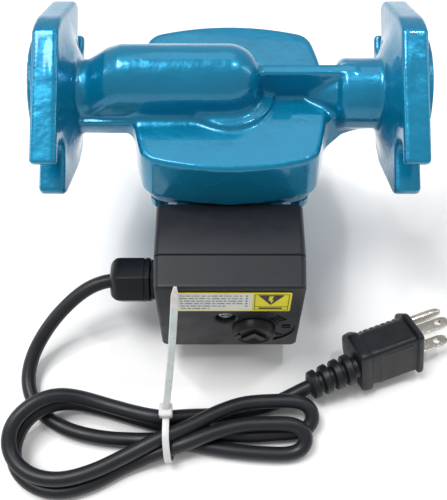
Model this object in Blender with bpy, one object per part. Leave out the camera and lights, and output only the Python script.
"""Three-speed wet-rotor circulator pump, standing on its motor end.

The motor axis is vertical, the cast volute with its two pipe flanges is on top, and the terminal box
is on the front, towards -Y. The mains lead lies in front of the pump in a tied figure of eight.
Sizes are in millimetres and are turned into metres as each object is made. Heights are above the
surface that the pump stands on. X and Y are measured from the motor axis, which stands AXIS_Y behind
the world origin, so that the origin is under the middle of the pump without its lead.
"""

import math

import bmesh
import bpy
from mathutils import Matrix, Vector

MM = 0.001
GAP = 0.3  # clearance between pieces that touch

# Pipe run: the two flanges face each other along X, on one axis.
PIPE_Z = 97.0
FACE_X = 82.5  # gasket face of each flange
FLANGE_X = 80.0  # outer side of the flange plate
FLANGE_THICK = 10.8
GASKET_R = 26.0
PORT_R = 11.5
PIPE_R = 15.2
HUB_R = 27.0
HUB_LENGTH = 5.0

# Flange outline, in its own directions: u runs along the two flats and w out through them.
FLANGE_TILT = math.radians(63.5)  # how far the flats' normal rises from the horizontal
FLANGE_FLAT = 28.8
FLANGE_DISC_R = 33.5
FLANGE_TIP = 45.0
SLOT_W = -18.1
SLOT_HALF = 6.25
SLOT_END = 30.8
SHORT_PRONG = 36.0
FRONT_REACH = 2.2  # the flange's front half reaches this much farther than its back half

# Volute casting.
VOLUTE_BOTTOM = 73.0
VOLUTE_HALF = 42.3
VOLUTE_CORNER = 36.3
VOLUTE_DRAFT = 1.3
VOLUTE_SHIFT = 0.6  # its square body stands this far behind the pipe axis
CHAMBER_R = 34.0
CHAMBER_TOP = 87.0
HUMP_R = 14.8
HUMP_RISE = 8.6  # centre of the inlet hump's arch above the pipe axis
HUMP_START = -47.0
NECK_R = 14.2
NECK_X = -64.0
LEDGE_R = 17.0
BOSS_R = 19.3
BOSS_TOP = 99.0
RIB_TOP = 112.0
RIB_HALF = 2.5
COLLAR_X = 47.0
PASSAGE_R = 10.4
EYE_R = 11.0

# Motor.
HOUSING_R = 37.5
HOUSING_WALL = 2.5
HOUSING_TOP = 72.7
HOUSING_FLANGE_Z = 66.0
END_WALL_LOW = 1.2
END_WALL_HIGH = 4.2
RIM_R = 30.0
SCREW_AT = 31.5
SCREW_R = 2.4
CAN_R = 18.1
STACK_LOW = 24.0
STACK_HIGH = 52.0
SHAFT_R = 4.0
BORE_R = 4.3

# Terminal box.
BOX_HALF = 32.3
BOX_FRONT_HALF = 31.5
BOX_LOW = 14.6
BOX_HIGH = 72.0
BOX_BACK_Y = -41.3
BOX_SEAM_Y = -67.3
BOX_FRONT_Y = -83.5
BOX_WALL = 2.2
COVER_SCREW_X = -1.8
COVER_SCREW_Z = 43.8
KNOB_X = 11.0
KNOB_Z = 34.5
KNOB_R = 9.8
KNOB_FRONT_Y = -88.0
LABEL_LEFT = -23.2
LABEL_RIGHT = 25.8
LABEL_LOW = 52.5
LABEL_HIGH = 68.7

# Cable gland, on the left side of the box's base.
GLAND_Y = -56.5
GLAND_Z = 30.5
GLAND_MOUTH_X = -56.2
GLAND_TURN = -5.0  # degrees from corners fore and aft

# Mains lead, its tie and its plug.
CORD_R = 3.35
LIE = 3.5  # height of the lead's centre where it lies on the surface
OVER = 10.4  # the same where it lies on another turn
TIE_X = -28.5
TIE_TIP_X = -22.2
PLUG_FACE = Vector((88.1, -81.0, 15.5))
PLUG_TURN = math.radians(19.8)
PLUG_PITCH = math.radians(2.6)
PLUG_ROLL = math.radians(19.0)
PLUG_BACK = 26.8  # from the face to the back of the plug's body
PLUG_SHAPE = [(-31.8, 0.94), (-27.3, 1.0), (-26, 0.86), (-3.4, 0.91), (-3, 1.03), (0, 1.03)]  # (along, size)
LEAD_GAP = 1.4
RELIEF_END = 55.0
RELIEF_OFFSET = 2.6
RELIEF_DROOP = 3.9
BLADE_LENGTH = 17.0
BLADE_SPACING = 12.7
BLADE_OFFSET = 0.4  # the blades stand this far from the plug's axis, away from the ground pin
GROUND_OFFSET = 11.9

ROUND = 24  # sides of a large round piece
SMALL = 12  # sides of a small one


def flange_outline():
    """Flange plate's outline as (y, z) about the pipe axis. The front half is the back half turned by
    180 degrees, with everything past the round middle moved out by FRONT_REACH."""
    half = [(-SHORT_PRONG + 0.5, FLANGE_FLAT)]
    start = math.acos(FLANGE_FLAT / FLANGE_DISC_R)
    for step in range(5):
        angle = start + math.radians(6.5) * step
        half.append((FLANGE_DISC_R * math.sin(angle), FLANGE_DISC_R * math.cos(angle)))
    half += [(FLANGE_TIP - 1.6, -3.6), (FLANGE_TIP - 0.3, -6.5), (FLANGE_TIP, -9.0)]
    half.append((FLANGE_TIP - 1.0, SLOT_W + SLOT_HALF))
    for step in range(7):
        angle = math.pi / 6 * step
        half.append((SLOT_END - SLOT_HALF * math.sin(angle), SLOT_W + SLOT_HALF * math.cos(angle)))
    half += [(SHORT_PRONG, SLOT_W - SLOT_HALF), (SHORT_PRONG, -FLANGE_FLAT + 1.0)]
    turned_half = [(-u, -w) for u, w in half]
    both = half + turned_half
    both = [(u - FRONT_REACH if u < -24 else u, w) for u, w in both]
    sin, cos = math.sin(FLANGE_TILT), math.cos(FLANGE_TILT)
    return [(u * sin - w * cos, u * cos + w * sin) for u, w in both]


# The pump reaches from the knob in front to the flanges' tips behind.
AXIS_Y = -(KNOB_FRONT_Y + max(y for y, z in flange_outline())) / 2


def clear_scene():
    for obj in list(bpy.data.objects):
        bpy.data.objects.remove(obj, do_unlink=True)


def material(name, color, roughness, metallic=0.0):
    mat = bpy.data.materials.new(name)
    mat.use_nodes = True
    shader = mat.node_tree.nodes["Principled BSDF"]
    shader.inputs["Base Color"].default_value = (*color, 1.0)
    shader.inputs["Roughness"].default_value = roughness
    shader.inputs["Metallic"].default_value = metallic
    return mat


def empty(name, place):
    obj = bpy.data.objects.new(name, None)
    obj.location = Vector(place) * MM
    bpy.context.collection.objects.link(obj)
    return obj


def add_object(name, mesh, mat, parent):
    bmesh.ops.recalc_face_normals(mesh, faces=mesh.faces)
    bmesh.ops.scale(mesh, vec=(MM, MM, MM), verts=mesh.verts)
    data = bpy.data.meshes.new(name)
    mesh.to_mesh(data)
    mesh.free()
    obj = bpy.data.objects.new(name, data)
    bpy.context.collection.objects.link(obj)
    obj.parent = parent
    if mat:
        data.materials.append(mat)
    data.shade_smooth()
    data.set_sharp_from_angle(angle=math.radians(35))
    return obj


def placed(point, along, plane):
    """A point of a section: plane is its two coordinates, and along is how far it stands along the axis."""
    a, b = plane
    return {"X": (along, a, b), "Y": (a, along, b), "Z": (a, b, along)}[point]


def loft(axis, sections):
    """A closed solid through sections of equal point count, each (distance along the axis, outline)."""
    mesh = bmesh.new()
    rings = [[mesh.verts.new(placed(axis, along, p)) for p in outline] for along, outline in sections]
    for low, high in zip(rings, rings[1:]):
        for i in range(len(low)):
            j = (i + 1) % len(low)
            mesh.faces.new((low[i], low[j], high[j], high[i]))
    mesh.faces.new(rings[0])
    mesh.faces.new(rings[-1])
    return mesh


def prism(axis, outline, low, high):
    return loft(axis, [(low, outline), (high, outline)])


def rectangle(x0, x1, y0, y1):
    return [(x0, y0), (x1, y0), (x1, y1), (x0, y1)]


def circle(radius, centre=(0.0, 0.0), sides=ROUND):
    turn = math.tau / sides
    return [
        (centre[0] + radius * math.cos(turn * i), centre[1] + radius * math.sin(turn * i))
        for i in range(sides)
    ]


def hexagon(radius, centre, turn):
    """Six-sided outline whose first corner stands turn degrees from its first coordinate's direction."""
    angles = [math.radians(turn + 60 * i) for i in range(6)]
    return [(centre[0] + radius * math.cos(a), centre[1] + radius * math.sin(a)) for a in angles]


def rounded_square(half, corner, steps=4):
    """A square whose sides bulge: half is their reach at the middle and corner their reach at the corners."""
    bulge = half - corner
    radius = (corner * corner + bulge * bulge) / (2 * bulge)
    swing = math.asin(corner / radius) * 0.93
    side = []
    for i in range(-steps, steps + 1):
        angle = swing * i / steps
        side.append((radius * math.sin(angle), half - radius + radius * math.cos(angle)))
    points = []
    for turn in range(4):
        for a, b in side:
            points.append([(a, b), (b, -a), (-a, -b), (-b, a)][turn])
    return points


def rounded_box(half_x, low, high, radius, steps=3):
    """A rectangle in X and Z with rounded corners."""
    points = []
    corners = [(half_x, high, 0), (-half_x, high, 1), (-half_x, low, 2), (half_x, low, 3)]
    for x, z, quarter in corners:
        cx = x - math.copysign(radius, x)
        cz = z - radius if z == high else z + radius
        for i in range(steps + 1):
            angle = math.pi / 2 * (quarter + i / steps)
            points.append((cx + radius * math.cos(angle), cz + radius * math.sin(angle)))
    return points


def turned(profile, sides=ROUND, axis="Z", centre=(0.0, 0.0)):
    """A solid of revolution from (radius, distance along the axis) points. A profile whose two ends have
    radius 0 is closed by the axis, and any other profile is a ring's closed section."""
    mesh = bmesh.new()
    rings = []
    for radius, along in profile:
        if radius == 0:
            rings.append([mesh.verts.new(placed(axis, along, centre))])
        else:
            ring = circle(radius, centre, sides)
            rings.append([mesh.verts.new(placed(axis, along, p)) for p in ring])
    pairs = list(zip(rings, rings[1:]))
    if profile[0][0] != 0:
        pairs.append((rings[-1], rings[0]))
    for low, high in pairs:
        for i in range(sides):
            j = (i + 1) % sides
            corners = [low[i % len(low)], low[j % len(low)], high[j % len(high)], high[i % len(high)]]
            mesh.faces.new(list(dict.fromkeys(corners)))
    return mesh


def rod(radius, low, high, sides=SMALL, axis="Z", centre=(0.0, 0.0)):
    return prism(axis, circle(radius, centre, sides), low, high)


def ring(inner, outer, low, high, sides=ROUND, axis="Z", centre=(0.0, 0.0)):
    return turned([(inner, low), (outer, low), (outer, high), (inner, high)], sides, axis, centre)


def merged(*meshes):
    """Several closed shapes in one mesh, for use as one Boolean operand."""
    whole = bmesh.new()
    for mesh in meshes:
        bmesh.ops.recalc_face_normals(mesh, faces=mesh.faces)
        data = bpy.data.meshes.new("operand")
        mesh.to_mesh(data)
        mesh.free()
        whole.from_mesh(data)
        bpy.data.meshes.remove(data)
    return whole


def boolean(obj, operation, name, mesh, solver="EXACT"):
    """Joins or cuts obj with a hidden helper object."""
    helper = add_object(name, mesh, None, obj.parent)
    helper.hide_render = True
    helper.display_type = "WIRE"
    modifier = obj.modifiers.new(name, "BOOLEAN")
    modifier.operation = operation
    modifier.object = helper
    modifier.solver = solver


def arch(x, rise, radius, foot):
    """Section of the inlet hump at x: half a circle on top of straight sides down to foot."""
    sides = 12
    outline = [(radius, PIPE_Z + foot)]
    for i in range(sides + 1):
        angle = math.pi * i / sides
        outline.append((radius * math.cos(angle), PIPE_Z + rise + radius * math.sin(angle)))
    outline.append((-radius, PIPE_Z + foot))
    return (x, outline)


def hump():
    """Inlet passage's outside: a neck at the flange, a rise, a straight arch and a domed end."""
    foot = -4.0
    sections = [arch(-FLANGE_X + 8, 0, NECK_R, foot), arch(NECK_X, 0, NECK_R, foot)]
    sections.append(arch((NECK_X + HUMP_START) / 2, HUMP_RISE / 2, (NECK_R + HUMP_R) / 2, foot))
    sections.append(arch(HUMP_START, HUMP_RISE, HUMP_R, foot))
    for degrees in (0, 25, 45, 62, 76, 86):
        angle = math.radians(degrees)
        sections.append(arch(HUMP_R * math.sin(angle) - 1, HUMP_RISE, HUMP_R * math.cos(angle), foot))
    return loft("X", sections)


def gusset():
    """Web under the outlet pipe, from the volute's side wall up to the pipe."""
    z = PIPE_Z
    outline = [(30, z - 22.5), (42.5, z - 23.7), (56, z - 13.5), (64, z - 9), (64, z - 1), (50, z - 1), (30, z - 1)]
    return loft("Y", [(-13.5, outline), (13.5, outline)])


def passage():
    """Hollow from the inlet flange to above the impeller's eye."""
    steps = [(-FACE_X - 1, 0, PORT_R), (-52, 0, PORT_R), (-37, 7.2, PASSAGE_R), (2, 7.2, PASSAGE_R), (8, 7.2, 7.0)]
    sections = [(x, circle(radius, (0, PIPE_Z + rise), 20)) for x, rise, radius in steps]
    return loft("X", sections)


def outlet():
    """Hollow from the side of the impeller chamber up to the outlet flange."""
    steps = [(28, -16.8, 5.8), (42, -13.6, 6.6), (50, -7.0, 7.6), (60, -1.0, 10.5), (64, 0, PORT_R)]
    steps.append((FACE_X + 1, 0, PORT_R))
    sections = [(x, circle(radius, (0, PIPE_Z + drop), 20)) for x, drop, radius in steps]
    return loft("X", sections)


def screw_places():
    return [(x, y) for x in (-SCREW_AT, SCREW_AT) for y in (-SCREW_AT, SCREW_AT)]


def flange(side):
    """One pipe flange with its raised gasket face and the hub that carries it, as a list of solids."""
    outline = [(y, PIPE_Z + z) for y, z in flange_outline()]
    inner = FLANGE_X - FLANGE_THICK
    plate = prism("X", outline, *sorted((side * inner, side * FLANGE_X)))
    centre = (0.0, PIPE_Z)
    hub = [(0, inner - HUB_LENGTH), (PIPE_R - 0.5, inner - HUB_LENGTH), (HUB_R, inner + 0.5)]
    hub += [(HUB_R, inner + 1), (GASKET_R, FLANGE_X - 1), (GASKET_R, FACE_X), (0, FACE_X)]
    return plate, turned([(r, side * x) for r, x in hub], 32, "X", centre)


def volute_housing(frame, mat):
    body = loft(
        "Z",
        [
            (VOLUTE_BOTTOM, rounded_square(VOLUTE_HALF + VOLUTE_DRAFT, VOLUTE_CORNER + VOLUTE_DRAFT)),
            (PIPE_Z - 2, rounded_square(VOLUTE_HALF, VOLUTE_CORNER)),
            (PIPE_Z, rounded_square(VOLUTE_HALF - 1.5, VOLUTE_CORNER - 1.5)),
        ],
    )
    bmesh.ops.translate(body, vec=(0, VOLUTE_SHIFT, 0), verts=body.verts)
    housing = add_object("volute_housing", body, mat, frame)
    pieces = [("hump", hump()), ("gusset", gusset())]
    pieces.append(("boss", rod(BOSS_R, PIPE_Z - 3, BOSS_TOP, ROUND, centre=(0, -1.5))))
    rib = prism("X", rectangle(-RIB_HALF, RIB_HALF, PIPE_Z - 3, RIB_TOP), 8, COLLAR_X + 6)
    pieces.append(("rib", rib))
    centre = (0.0, PIPE_Z)
    collar = [(0, COLLAR_X), (PIPE_R - 5, COLLAR_X), (PIPE_R, COLLAR_X + 4), (PIPE_R, FLANGE_X - 9), (0, FLANGE_X - 9)]
    pieces.append(("outlet_pipe", turned(collar, 28, "X", centre)))
    lower = [(LEDGE_R * math.cos(math.radians(a)), PIPE_Z + LEDGE_R * math.sin(math.radians(a))) for a in range(-180, 1, 15)]
    pieces.append(("inlet_pipe", prism("X", lower, -FLANGE_X + 9, -36)))
    for side, word in ((-1, "inlet"), (1, "outlet")):
        plate, hub = flange(side)
        pieces += [(word + "_hub", hub), (word + "_flange_plate", plate)]
    for name, mesh in pieces:
        boolean(housing, "UNION", name, mesh)
    boolean(housing, "DIFFERENCE", "chamber_cut", rod(CHAMBER_R, VOLUTE_BOTTOM - 1, CHAMBER_TOP, ROUND))
    boolean(housing, "DIFFERENCE", "ring_seat_cut", rod(14.8, CHAMBER_TOP - 1, 91.0, ROUND))
    boolean(housing, "DIFFERENCE", "eye_cut", rod(EYE_R, 90.0, PIPE_Z + 7, 24))
    boolean(housing, "DIFFERENCE", "inlet_cut", passage())
    boolean(housing, "DIFFERENCE", "outlet_cut", outlet())
    holes = merged(*(rod(2.8, VOLUTE_BOTTOM - 1, 85.0, 8, centre=place) for place in screw_places()))
    boolean(housing, "DIFFERENCE", "screw_hole_cut", holes)


def impeller(rotor, mat):
    """Closed impeller: back plate and hub, six curved vanes, and a front plate with a short eye."""
    back = turned([(BORE_R, 74.5), (31, 74.5), (31, 76.5), (8, 77), (8, 84), (BORE_R, 84)])
    wheel = add_object("impeller", back, mat, rotor)
    vanes = []
    for index in range(6):
        spine = []
        for step in range(6):
            reach = 7.0 + 4.7 * step
            angle = math.tau * index / 6 + 0.22 * step
            spine.append(Vector((reach * math.cos(angle), reach * math.sin(angle))))
        outline = []
        for side in (0.8, -0.8):
            edge = []
            for i, point in enumerate(spine):
                run = (spine[min(i + 1, 5)] - spine[max(i - 1, 0)]).normalized()
                edge.append(point + side * Vector((-run.y, run.x)))
            outline += [tuple(p) for p in (edge if side > 0 else edge[::-1])]
        vanes.append(prism("Z", outline, 76.0, 83.5))
    boolean(wheel, "UNION", "vanes", merged(*vanes))
    front = turned([(10.6, 83), (31, 82.4), (31, 84.4), (12.2, 85), (12.2, 89.6), (10.6, 89.6)])
    boolean(wheel, "UNION", "front_plate", front)


def pump_internals(frame, rotor, mats):
    steel, brass, ceramic, rubber = mats["steel"], mats["brass"], mats["ceramic"], mats["rubber"]
    add_object("neck_ring", ring(12.6, 14.5, 87.2, 90.7), steel, frame)
    add_object("volute_gasket", ring(34.4, 36.3, 72.0, 72.7), rubber, frame)
    plate = [(5.2, 71.7), (36.3, 71.7), (36.3, 70.2), (17.1, 70.2), (17.1, 56.5), (9.5, 56.5), (9.5, 67), (5.2, 67)]
    add_object("bearing_plate", turned(plate), steel, frame)
    add_object("upper_bearing", ring(BORE_R, 9.2, 57.0, 66.7, SMALL), ceramic, frame)
    add_object("lower_bearing", ring(BORE_R, 17.1, 12.0, 19.0), ceramic, frame)
    can = [(5.0, 5.0), (CAN_R, 5.0), (CAN_R, 69.1), (36.3, 69.1), (36.3, 69.9), (CAN_R - 0.7, 69.9)]
    can += [(CAN_R - 0.7, 6.0), (5.0, 6.0)]
    add_object("rotor_can", turned(can), steel, frame)
    add_object("rotor_core", ring(BORE_R, 16.4, STACK_LOW, STACK_HIGH), steel, rotor)
    add_object("shaft", rod(SHAFT_R, 10.5, 86.0), ceramic, rotor)
    add_object("thrust_bearing", ring(BORE_R, 8.0, 52.6, 56.0, SMALL), mats["carbon"], rotor)
    add_object("impeller_lock_ring", ring(BORE_R, 6.4, 84.4, 85.6, SMALL), brass, rotor)


def stator(frame, mats):
    core = add_object("stator_core", ring(CAN_R + GAP, 34.6, STACK_LOW, STACK_HIGH), mats["lamination"], frame)
    slots = []
    for index in range(12):
        slot = prism("Z", rectangle(16.0, 27.0, -1.6, 1.6), STACK_LOW - 1, STACK_HIGH + 1)
        bmesh.ops.rotate(slot, cent=(0, 0, 0), matrix=Matrix.Rotation(math.tau * index / 12, 3, "Z"), verts=slot.verts)
        slots.append(slot)
    boolean(core, "DIFFERENCE", "slot_cut", merged(*slots))
    for name, low, high in (("upper_winding", 52.4, 61.6), ("lower_winding", 14.4, 23.6)):
        c = 2.2
        section = [(20.5 + c, low), (33 - c, low), (33, low + c), (33, high - c)]
        section += [(33 - c, high), (20.5 + c, high), (20.5, high - c), (20.5, low + c)]
        add_object(name, turned(section), mats["copper"], frame)


def motor_housing(frame, mat):
    """Painted shell: a cup with a closed bottom, a square flange on top and a flat pad for the terminal box."""
    inner = HOUSING_R - HOUSING_WALL
    cup = [(11.6, END_WALL_LOW), (RIM_R - 1, END_WALL_LOW), (RIM_R, 0), (HOUSING_R - 1.5, 0), (HOUSING_R, 1.5)]
    cup += [(HOUSING_R, HOUSING_TOP - 1), (inner, HOUSING_TOP - 1), (inner, END_WALL_HIGH), (11.6, END_WALL_HIGH)]
    shell = add_object("motor_housing", turned(cup, 36), mat, frame)
    top = [
        (HOUSING_FLANGE_Z, rounded_square(39.5, 34.5)),
        (HOUSING_TOP, rounded_square(41.0, 36.3)),
    ]
    boolean(shell, "UNION", "housing_flange", loft("Z", top))
    pad = prism("Z", rectangle(-24, 24, BOX_BACK_Y + GAP, -30), 19.0, 69.0)
    boolean(shell, "UNION", "housing_pad", pad)
    boolean(shell, "DIFFERENCE", "stator_cut", rod(inner, END_WALL_HIGH, 69.5, 36))
    boolean(shell, "DIFFERENCE", "plate_seat_cut", rod(36.7, 68.8, HOUSING_TOP + 1, 36))
    holes = merged(*(rod(2.8, HOUSING_FLANGE_Z - 1, HOUSING_TOP + 1, 8, centre=place) for place in screw_places()))
    boolean(shell, "DIFFERENCE", "flange_hole_cut", holes)
    boolean(shell, "DIFFERENCE", "lead_hole_cut", rod(5.0, BOX_BACK_Y - 1, -30, 12, "Y", (0, 57)))
    seats = merged(*(rod(1.9, BOX_BACK_Y - 1, -36.5, 12, "Y", (x, 44)) for x in (-18, 18)))
    boolean(shell, "DIFFERENCE", "box_screw_cut", seats)


def motor_end(frame, mats):
    add_object("nameplate", ring(12.4, 28.4, 0.4, 0.9), mats["silver"], frame)
    plug = [(0, 0.4), (9.6, 0.4), (10.8, 1.4), (10.8, 3.4), (4.7, 3.4), (4.7, 9.0), (0, 9.0)]
    vent = add_object("vent_plug", turned(plug), mats["brass"], frame)
    boolean(vent, "DIFFERENCE", "driver_slot_cut", prism("X", rectangle(-0.9, 0.9, -1, 1.9), -12, 12))
    add_object("vent_plug_seal", ring(5.3, 8.6, 3.7, 4.7), mats["rubber"], frame)


def housing_screws(frame, mat):
    for number, (x, y) in enumerate(screw_places(), start=1):
        low = HOUSING_FLANGE_Z - GAP
        profile = [(0, low - 4.8), (4.2, low - 4.8), (4.2, low), (SCREW_R, low), (SCREW_R, 84.0), (0, 84.0)]
        add_object(f"housing_screw_{number}", turned(profile, SMALL, centre=(x, y)), mat, frame)


def box_base(frame, mat):
    """Open tray that carries the terminals. Its back is screwed to the motor."""
    radius = 3.0
    shape = rounded_box(BOX_HALF, BOX_LOW, BOX_HIGH, radius)
    base = add_object("terminal_box_base", prism("Y", shape, BOX_SEAM_Y, BOX_BACK_Y), mat, frame)
    inside = rounded_box(BOX_HALF - BOX_WALL, BOX_LOW + BOX_WALL, BOX_HIGH - BOX_WALL, 1.5)
    boolean(base, "DIFFERENCE", "tray_cut", prism("Y", inside, BOX_SEAM_Y - 1, BOX_BACK_Y - BOX_WALL))
    post = rod(5.0, BOX_SEAM_Y + 1, BOX_BACK_Y - 1, SMALL, "Y", (COVER_SCREW_X, COVER_SCREW_Z))
    boolean(base, "UNION", "screw_post", post)
    boolean(base, "DIFFERENCE", "post_cut", rod(2.3, BOX_SEAM_Y - 1, -50, 12, "Y", (COVER_SCREW_X, COVER_SCREW_Z)))
    boolean(base, "DIFFERENCE", "gland_cut", rod(8.1, -BOX_HALF - 1, -BOX_HALF + 4, 24, "X", (GLAND_Y, GLAND_Z)))
    holes = [rod(5.0, BOX_BACK_Y - 4, BOX_BACK_Y + 1, 12, "Y", (0, 57))]
    holes += [rod(2.0, BOX_BACK_Y - 4, BOX_BACK_Y + 1, 12, "Y", (x, 44)) for x in (-18, 18)]
    boolean(base, "DIFFERENCE", "back_hole_cut", merged(*holes))


def box_cover(frame, mat):
    """Cap of the terminal box, with a deep screw well and the hole for the speed switch."""
    back = BOX_SEAM_Y - GAP
    sections = [
        (back, rounded_box(BOX_HALF, BOX_LOW, BOX_HIGH, 3.0)),
        (BOX_FRONT_Y + 1, rounded_box(BOX_FRONT_HALF, BOX_LOW + 0.6, BOX_HIGH, 2.6)),
        (BOX_FRONT_Y, rounded_box(BOX_FRONT_HALF - 0.7, BOX_LOW + 1.2, BOX_HIGH - 0.7, 2.0)),
    ]
    cover = add_object("terminal_box_cover", loft("Y", sections), mat, frame)
    inside = rounded_box(BOX_HALF - BOX_WALL - 0.6, BOX_LOW + BOX_WALL + 0.6, BOX_HIGH - BOX_WALL, 1.5)
    boolean(cover, "DIFFERENCE", "cap_cut", prism("Y", inside, BOX_FRONT_Y + BOX_WALL, back + 1))
    well = rod(6.0, BOX_FRONT_Y + 1, -73.0, SMALL, "Y", (COVER_SCREW_X, COVER_SCREW_Z))
    boolean(cover, "UNION", "screw_well", well)
    boolean(cover, "DIFFERENCE", "well_cut", rod(4.5, BOX_FRONT_Y - 1, -75.0, SMALL, "Y", (COVER_SCREW_X, COVER_SCREW_Z)))
    boolean(cover, "DIFFERENCE", "well_hole_cut", rod(2.3, -76, -72, 12, "Y", (COVER_SCREW_X, COVER_SCREW_Z)))
    boolean(cover, "DIFFERENCE", "switch_cut", rod(3.3, BOX_FRONT_Y - 1, BOX_FRONT_Y + 4, SMALL, "Y", (KNOB_X, KNOB_Z)))


def box_fittings(frame, mats):
    """What the terminal box holds: gasket, screws, terminals, capacitor and the speed switch's body."""
    outer, inner = BOX_HALF - BOX_WALL - 1.0, BOX_HALF - BOX_WALL - 2.2
    strip = add_object(
        "box_gasket", prism("Y", rectangle(-outer, outer, BOX_LOW + 3.3, BOX_HIGH - 3.3), -68.8, -66.0), mats["rubber"], frame
    )
    hollow = prism("Y", rectangle(-inner, inner, BOX_LOW + 4.5, BOX_HIGH - 4.5), -70, -65)
    boolean(strip, "DIFFERENCE", "gasket_cut", hollow)
    centre = (COVER_SCREW_X, COVER_SCREW_Z)
    profile = [(0, -77.6), (3.4, -77.6), (4.1, -77.0), (4.1, -75.3), (1.9, -75.3), (1.9, -53), (0, -53)]
    add_object("cover_screw", turned(profile, SMALL, "Y", centre), mats["zinc"], frame)
    for number, x in enumerate((-18, 18), start=1):
        head = BOX_BACK_Y - BOX_WALL - GAP
        profile = [(0, head - 2.2), (3.4, head - 2.2), (3.4, head), (1.6, head), (1.6, -37.0), (0, -37.0)]
        add_object(f"base_screw_{number}", turned(profile, 12, "Y", (x, 44)), mats["zinc"], frame)
    block = prism("Y", rectangle(-28, -10, 50, 66), -56, BOX_BACK_Y - BOX_WALL - GAP)
    terminals = add_object("terminal_block", block, mats["terminal"], frame)
    places = [(-25, 58), (-19, 58), (-13, 58)]
    seats = merged(*(rod(2.1, -57, -50, 12, "Y", place) for place in places))
    boolean(terminals, "DIFFERENCE", "terminal_cut", seats)
    for number, place in enumerate(places, start=1):
        add_object(f"terminal_screw_{number}", rod(1.8, -55.5, -50.4, 12, "Y", place), mats["brass"], frame)
    add_object("capacitor", rod(8.5, -6, 26, 20, "X", (-53.5, 27.8)), mats["capacitor"], frame)
    body = [(3.1, -80.9), (7.2, -80.9), (7.2, -69), (0, -69)]
    switch = turned([(0, -76.5), (3.1, -76.5)] + body, 20, "Y", (KNOB_X, KNOB_Z))
    add_object("speed_switch_body", switch, mats["terminal"], frame)


def speed_knob(knob, mats):
    """Knob and its spindle, made about the knob's own axis."""
    front = KNOB_FRONT_Y - BOX_FRONT_Y
    spindle = rod(2.7, front + 2.0, 6.8, 12, "Y")
    add_object("speed_switch_spindle", spindle, mats["terminal"], knob)
    profile = [(0, front + 0.7), (6.6, front + 0.7), (8.0, front + 1.5), (KNOB_R, -GAP), (3.0, -GAP), (3.0, front + 1.7), (0, front + 1.7)]
    dial = add_object("speed_knob", turned(profile, 28, "Y"), mats["plastic"], knob)
    arrow = [(-6.0, -0.9), (-2.6, -2.9), (-2.6, -1.2), (5.6, -1.2), (5.6, 1.2), (-2.6, 1.2), (-2.6, 2.9), (-6.0, 0.9)]
    boolean(dial, "UNION", "knob_bar", prism("Y", arrow, front, front + 1.2))


def gland(frame, mats):
    """Cable gland: body through the box wall, locknut inside, rubber seal and domed hexagon nut."""
    centre = (GLAND_Y, GLAND_Z)
    wall = -BOX_HALF
    plastic = mats["plastic"]
    flange_hex = prism("X", hexagon(10.6, centre, GLAND_TURN), wall - GAP - 3.8, wall - GAP)
    body = add_object("gland_body", flange_hex, plastic, frame)
    boolean(body, "UNION", "gland_thread_in", rod(7.7, wall - 2, wall + 6.6, 20, "X", centre))
    boolean(body, "UNION", "gland_thread_out", rod(7.2, wall - 12.5, wall - 3, 20, "X", centre))
    boolean(body, "DIFFERENCE", "gland_bore_cut", rod(4.4, wall - 14, wall + 8, 16, "X", centre))
    lock = prism("X", hexagon(10.2, centre, 30), wall + 2.6, wall + 5.8)
    locknut = add_object("gland_locknut", lock, plastic, frame)
    boolean(locknut, "DIFFERENCE", "locknut_cut", rod(8.1, wall + 2, wall + 7, 20, "X", centre))
    add_object("gland_seal", ring(4.0, 7.0, wall - 16.8, wall - 13.0, SMALL, "X", centre), mats["rubber"], frame)
    start = wall - GAP * 2 - 3.9
    nut_mesh = prism("X", hexagon(11.6, centre, GLAND_TURN), start - 15.2, start)
    nut = add_object("gland_nut", nut_mesh, plastic, frame)
    dome = [(0, start - 14), (10.0, start - 14), (10.0, start - 15.6), (9.4, start - 17.2), (8.2, start - 18.5)]
    dome += [(6.2, GLAND_MOUTH_X), (0, GLAND_MOUTH_X)]
    boolean(nut, "UNION", "nut_dome", turned(dome, 24, "X", centre))
    boolean(nut, "DIFFERENCE", "nut_thread_cut", rod(7.6, wall - 17.4, start + 1, 20, "X", centre))
    boolean(nut, "DIFFERENCE", "nut_mouth_cut", rod(4.2, GLAND_MOUTH_X - 1, -45, 16, "X", centre))


def smooth_curve(points, step):
    """Points every step along a centripetal Catmull-Rom curve through the given points."""
    route = [Vector(p) for p in points]
    route = [2 * route[0] - route[1]] + route + [2 * route[-1] - route[-2]]
    dense = []
    for p0, p1, p2, p3 in zip(route, route[1:], route[2:], route[3:]):
        t1 = (p1 - p0).length ** 0.5
        t2 = t1 + (p2 - p1).length ** 0.5
        t3 = t2 + (p3 - p2).length ** 0.5
        for i in range(16):
            t = t1 + (t2 - t1) * i / 16
            a1 = p0 + (p1 - p0) * (t / t1)
            a2 = p1 + (p2 - p1) * ((t - t1) / (t2 - t1))
            a3 = p2 + (p3 - p2) * ((t - t2) / (t3 - t2))
            b1 = a1 + (a2 - a1) * (t / t2)
            b2 = a2 + (a3 - a2) * ((t - t1) / (t3 - t1))
            dense.append(b1 + (b2 - b1) * ((t - t1) / (t2 - t1)))
    dense.append(route[-2])
    total = sum((b - a).length for a, b in zip(dense, dense[1:]))
    count = round(total / step)
    spaced, walked, target = [dense[0]], 0.0, total / count
    for a, b in zip(dense, dense[1:]):
        length = (b - a).length
        while length and walked + length >= target and len(spaced) < count:
            spaced.append(a + (b - a) * ((target - walked) / length))
            target += total / count
        walked += length
    return spaced + [dense[-1]]


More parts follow.
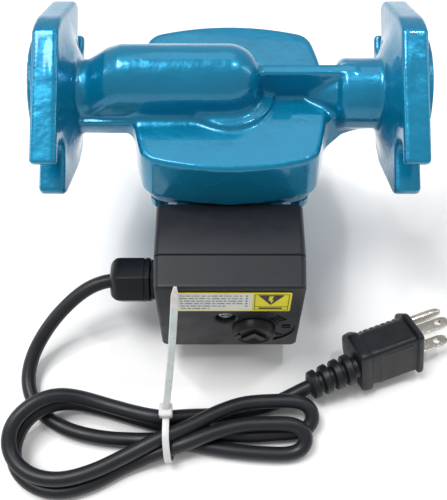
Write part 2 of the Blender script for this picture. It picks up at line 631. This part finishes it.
def tube(name, points, radius, mat, parent):
    curve = bpy.data.curves.new(name, "CURVE")
    curve.dimensions = "3D"
    curve.bevel_depth = radius * MM
    curve.bevel_resolution = 2
    curve.use_fill_caps = True
    spline = curve.splines.new("POLY")
    spline.points.add(len(points) - 1)
    for slot, point in zip(spline.points, points):
        slot.co = (*(point * MM), 1.0)
    curve.materials.append(mat)
    obj = bpy.data.objects.new(name, curve)
    bpy.context.collection.objects.link(obj)
    obj.parent = parent


def plug_axes():
    """The plug's own directions: forward out of its face, across from blade to blade, and towards the ground pin."""
    forward = Vector((math.cos(PLUG_TURN), math.sin(PLUG_TURN), math.tan(PLUG_PITCH))).normalized()
    level = Vector((-math.sin(PLUG_TURN), math.cos(PLUG_TURN), 0))
    upright = forward.cross(level)
    across = (upright * math.cos(PLUG_ROLL) + level * math.sin(PLUG_ROLL)).normalized()
    return forward, across, across.cross(forward)


def plug_point(along, across, ground):
    forward, side, pin = plug_axes()
    return PLUG_FACE + forward * along + side * across + pin * ground


def relief_point(along, across, ground):
    """The strain relief leaves the plug's body a little off its axis and droops towards the lead."""
    reach = -(along + PLUG_BACK) / PLUG_BACK
    return plug_point(along, across, ground - RELIEF_OFFSET) - Vector((0, 0, RELIEF_DROOP * reach * abs(reach)))


CORD_ROUTE = [
    # out of the gland and down to the left
    (-45, -56.5, 30.5), (-57, -56.7, 30.3), (-67, -59.5, 28), (-78, -66.5, 22.5), (-88, -76, 15), (-94.7, -87.5, 8),
    (-95.5, -99, 4.2), (-89, -111, LIE), (-76, -119.8, LIE), (-59, -124.2, LIE), (-43, -125.3, LIE),
    # under the tie and along the front of the right-hand loop
    (-28.5, -125.9, 5), (-13, -128.2, LIE), (2, -130.4, LIE), (17, -131.6, LIE), (28, -130.2, 5), (33, -126.2, 9.5),
    (29, -122, 11), (19, -120, OVER), (6, -120.5, OVER), (-8, -124.3, OVER), (-20, -129.6, 9.8), (-32, -132.8, 5.8),
    # first turn of the left-hand loop
    (-47, -138, LIE), (-62, -145.3, LIE), (-76.5, -148.6, LIE), (-89, -144.8, LIE), (-97, -136, LIE), (-97.3, -126.5, 5.5),
    (-92, -118, OVER), (-83, -111.5, OVER), (-73, -108.5, 6), (-62, -110, LIE), (-48, -113.8, LIE),
    # under the tie again and round the back of the right-hand loop
    (-34, -118, 5), (-20, -120.4, 4.4), (-6, -122.2, LIE), (9, -123.2, LIE), (25, -122, LIE), (34, -119, 4.6),
    (37, -115.5, 8.5), (32, -111.5, OVER), (20, -109.5, OVER), (6, -110.5, OVER), (-7, -115.5, 11), (-19, -122, 11.7),
    (-31, -127, 11.8),
    # second turn of the left-hand loop, on top of the first
    (-46, -134.4, OVER), (-61, -141.6, OVER), (-76, -145, OVER), (-90, -141.4, OVER), (-98, -132, 12), (-97, -122, 16),
    (-88.5, -113, 17.8), (-79, -108.5, 16.3), (-69, -108, 12), (-55, -111.5, OVER), (-41, -115.5, 11.2), (-30, -117.5, 11.7),
    # and out to the plug
    (-19, -115.2, 7), (-7, -113.6, LIE), (6, -112, LIE), (17, -109.8, LIE),
]


def power_cord(frame, mat):
    end = relief_point(-RELIEF_END - LEAD_GAP, 0, 0)
    lead_in = relief_point(-RELIEF_END - 6, 0, 0)
    points = smooth_curve(CORD_ROUTE + [lead_in, end], 10.6)
    for point in points:
        point.z = max(point.z, LIE)
    tube("power_cord", points, CORD_R, mat, frame)


def inner_wires(frame, mats):
    """Three cores from the gland to the terminal block."""
    for number, (name, x) in enumerate((("live_wire", -25), ("neutral_wire", -19), ("earth_wire", -13))):
        offset = (number - 1) * 2.6
        route = [(-24.5, GLAND_Y + offset, GLAND_Z), (-20.5, GLAND_Y + offset, GLAND_Z + 1)]
        route += [(x + 1, -52 + offset / 2, 40), (x, -50, 49.4)]
        tube(name, smooth_curve(route, 4.0), 1.0, mats[name], frame)


def cable_tie(frame, mat):
    """One moulded tie: a loop round the bundle, its head on top, and the long tail leaning on the box."""
    loop = [(-136.8, 7.5), (-136.4, 4.5), (-133.5, 1.6), (-129, 0.2), (-115, 0.2), (-112.6, 1.2), (-111.6, 4)]
    loop += [(-111.6, 13), (-113.2, 15.8), (-116.4, 16.8), (-126.5, 16.6), (-129.5, 15.6), (-136.2, 9.8)]
    centre = Vector((-126, 8.5))
    inner = []
    for i, point in enumerate(loop):
        before, after = Vector(loop[i - 1]), Vector(loop[(i + 1) % len(loop)])
        run = (after - before).normalized()
        normal = Vector((-run.y, run.x))
        if normal.dot(centre - Vector(point)) < 0:
            normal = -normal
        inner.append(tuple(Vector(point) + normal * 0.9))
    tie = add_object("cable_tie", prism("X", loop, TIE_X - 1.8, TIE_X + 1.8), mat, frame)
    boolean(tie, "DIFFERENCE", "tie_loop_cut", prism("X", inner, TIE_X - 3, TIE_X + 3))
    head = prism("X", rectangle(-119.5, -113.5, 15.9, 20.4), TIE_X - 3, TIE_X + 3)
    boolean(tie, "UNION", "tie_head", head)
    foot = Vector((TIE_X, -117.6, 19.5))
    tip = Vector((TIE_TIP_X, BOX_FRONT_Y - 1.6, BOX_HIGH + 3.8))
    run = (tip - foot).normalized()
    side = run.cross(Vector((1, 0, 0))).normalized() * 0.5
    across = side.cross(run).normalized()
    tail = bmesh.new()
    rings = []
    for place, half in ((foot, 1.8), (tip - run * 2, 1.7), (tip, 0.9)):
        corners = [(-1, -1), (1, -1), (1, 1), (-1, 1)]
        rings.append([tail.verts.new(place + across * half * a + side * b) for a, b in corners])
    for low, high in zip(rings, rings[1:]):
        for i in range(4):
            j = (i + 1) % 4
            tail.faces.new((low[i], low[j], high[j], high[i]))
    tail.faces.new(rings[0])
    tail.faces.new(rings[-1])
    boolean(tie, "UNION", "tie_tail", tail)


def plug_section(along, wide, deep, back, narrow):
    """Section of the plug across its length: wide on the blade side, narrow on the ground side."""
    half, tip = wide / 2, narrow / 2
    corner = 1.6
    outline = [(-half, corner - back), (-half + corner, -back), (half - corner, -back), (half, corner - back)]
    outline += [(half, deep * 0.45), (tip, deep), (-tip, deep), (-half, deep * 0.45)]
    return [plug_point(along, across, ground) for across, ground in outline]


def plug_solid(sections):
    mesh = bmesh.new()
    rings = [[mesh.verts.new(point) for point in section] for section in sections]
    for low, high in zip(rings, rings[1:]):
        for i in range(len(low)):
            j = (i + 1) % len(low)
            mesh.faces.new((low[i], low[j], high[j], high[i]))
    mesh.faces.new(rings[0])
    mesh.faces.new(rings[-1])
    return mesh


def relief_section(along, radius):
    return [relief_point(along, a, b) for a, b in circle(radius, (0, 0), 12)]


def plug(frame, mats):
    """Three-pin mains plug, moulded in one piece with its ribbed strain relief."""
    sections = []
    for along, size in PLUG_SHAPE:
        sections.append(plug_section(along, 25.4 * size, 14 * size, 9.6 * size, 11 * size))
    body = add_object("plug_body", plug_solid(sections), mats["plastic"], frame)
    rings = [relief_section(-RELIEF_END, 4.6)]
    for start in (-54.5, -48, -41.5):
        wide = 6.3 + (start + 54.5) * 0.06
        rings += [relief_section(start, wide), relief_section(start + 3.4, wide + 0.2)]
        rings += [relief_section(start + 3.9, 4.6), relief_section(start + 6.0, 4.6)]
    rings.append(relief_section(-PLUG_BACK - 3, 5.6))
    boolean(body, "UNION", "plug_relief", plug_solid(rings))
    for name, across in (("plug_blade_live", BLADE_SPACING / 2), ("plug_blade_neutral", -BLADE_SPACING / 2)):
        sections = []
        for along, half in ((GAP, 3.15), (BLADE_LENGTH - 2.5, 3.15), (BLADE_LENGTH, 2.0)):
            corners = [(across - 0.75, -BLADE_OFFSET - half), (across + 0.75, -BLADE_OFFSET - half)]
            corners += [(across + 0.75, -BLADE_OFFSET + half), (across - 0.75, -BLADE_OFFSET + half)]
            sections.append([plug_point(along, a, g) for a, g in corners])
        add_object(name, plug_solid(sections), mats["nickel"], frame)
    ground = GROUND_OFFSET - BLADE_OFFSET
    sections = []
    for along, radius in ((GAP, 2.4), (BLADE_LENGTH + 1.5, 2.4), (BLADE_LENGTH + 3.2, 1.4)):
        sections.append([plug_point(along, a, ground + g) for a, g in circle(radius, (0, 0), 12)])
    add_object("plug_ground_pin", plug_solid(sections), mats["nickel"], frame)


def warning_label(frame, mat):
    face = rectangle(LABEL_LEFT, LABEL_RIGHT, LABEL_LOW, LABEL_HIGH)
    add_object("warning_label", prism("Y", face, BOX_FRONT_Y - GAP - 0.3, BOX_FRONT_Y - GAP), mat, frame)


def all_materials():
    return {
        "paint": material("paint", (0.012, 0.29, 0.52), 0.2),
        "plastic": material("plastic", (0.035, 0.04, 0.05), 0.45),
        "cord": material("cord", (0.03, 0.032, 0.037), 0.55),
        "steel": material("steel", (0.6, 0.6, 0.6), 0.3, 1.0),
        "zinc": material("zinc", (0.75, 0.76, 0.78), 0.3, 1.0),
        "brass": material("brass", (0.75, 0.55, 0.25), 0.3, 1.0),
        "nickel": material("nickel", (0.78, 0.76, 0.7), 0.25, 1.0),
        "ceramic": material("ceramic", (0.85, 0.85, 0.82), 0.3),
        "carbon": material("carbon", (0.03, 0.03, 0.03), 0.5),
        "rubber": material("rubber", (0.02, 0.02, 0.02), 0.7),
        "lamination": material("lamination", (0.3, 0.3, 0.32), 0.4, 1.0),
        "copper": material("copper", (0.7, 0.3, 0.12), 0.35, 1.0),
        "composite": material("composite", (0.15, 0.15, 0.16), 0.5),
        "silver": material("silver", (0.7, 0.7, 0.7), 0.35, 1.0),
        "terminal": material("terminal", (0.8, 0.8, 0.76), 0.5),
        "capacitor": material("capacitor", (0.75, 0.76, 0.78), 0.45),
        "label": material("label", (0.8, 0.74, 0.12), 0.4),
        "nylon": material("nylon", (0.85, 0.85, 0.85), 0.35),
        "live_wire": material("live_wire", (0.02, 0.02, 0.02), 0.5),
        "neutral_wire": material("neutral_wire", (0.8, 0.8, 0.8), 0.5),
        "earth_wire": material("earth_wire", (0.05, 0.35, 0.08), 0.5),
    }


def main():
    clear_scene()
    mats = all_materials()
    frame = empty("pump_axis", (0, AXIS_Y, 0))
    rotor = empty("rotor_axis", (0, AXIS_Y, 0))
    knob = empty("knob_axis", (KNOB_X, AXIS_Y + BOX_FRONT_Y, KNOB_Z))
    volute_housing(frame, mats["paint"])
    impeller(rotor, mats["composite"])
    pump_internals(frame, rotor, mats)
    stator(frame, mats)
    motor_housing(frame, mats["paint"])
    motor_end(frame, mats)
    housing_screws(frame, mats["zinc"])
    box_base(frame, mats["plastic"])
    box_cover(frame, mats["plastic"])
    box_fittings(frame, mats)
    speed_knob(knob, mats)
    gland(frame, mats)
    inner_wires(frame, mats)
    warning_label(frame, mats["label"])
    power_cord(frame, mats["cord"])
    cable_tie(frame, mats["nylon"])
    plug(frame, mats)


main()
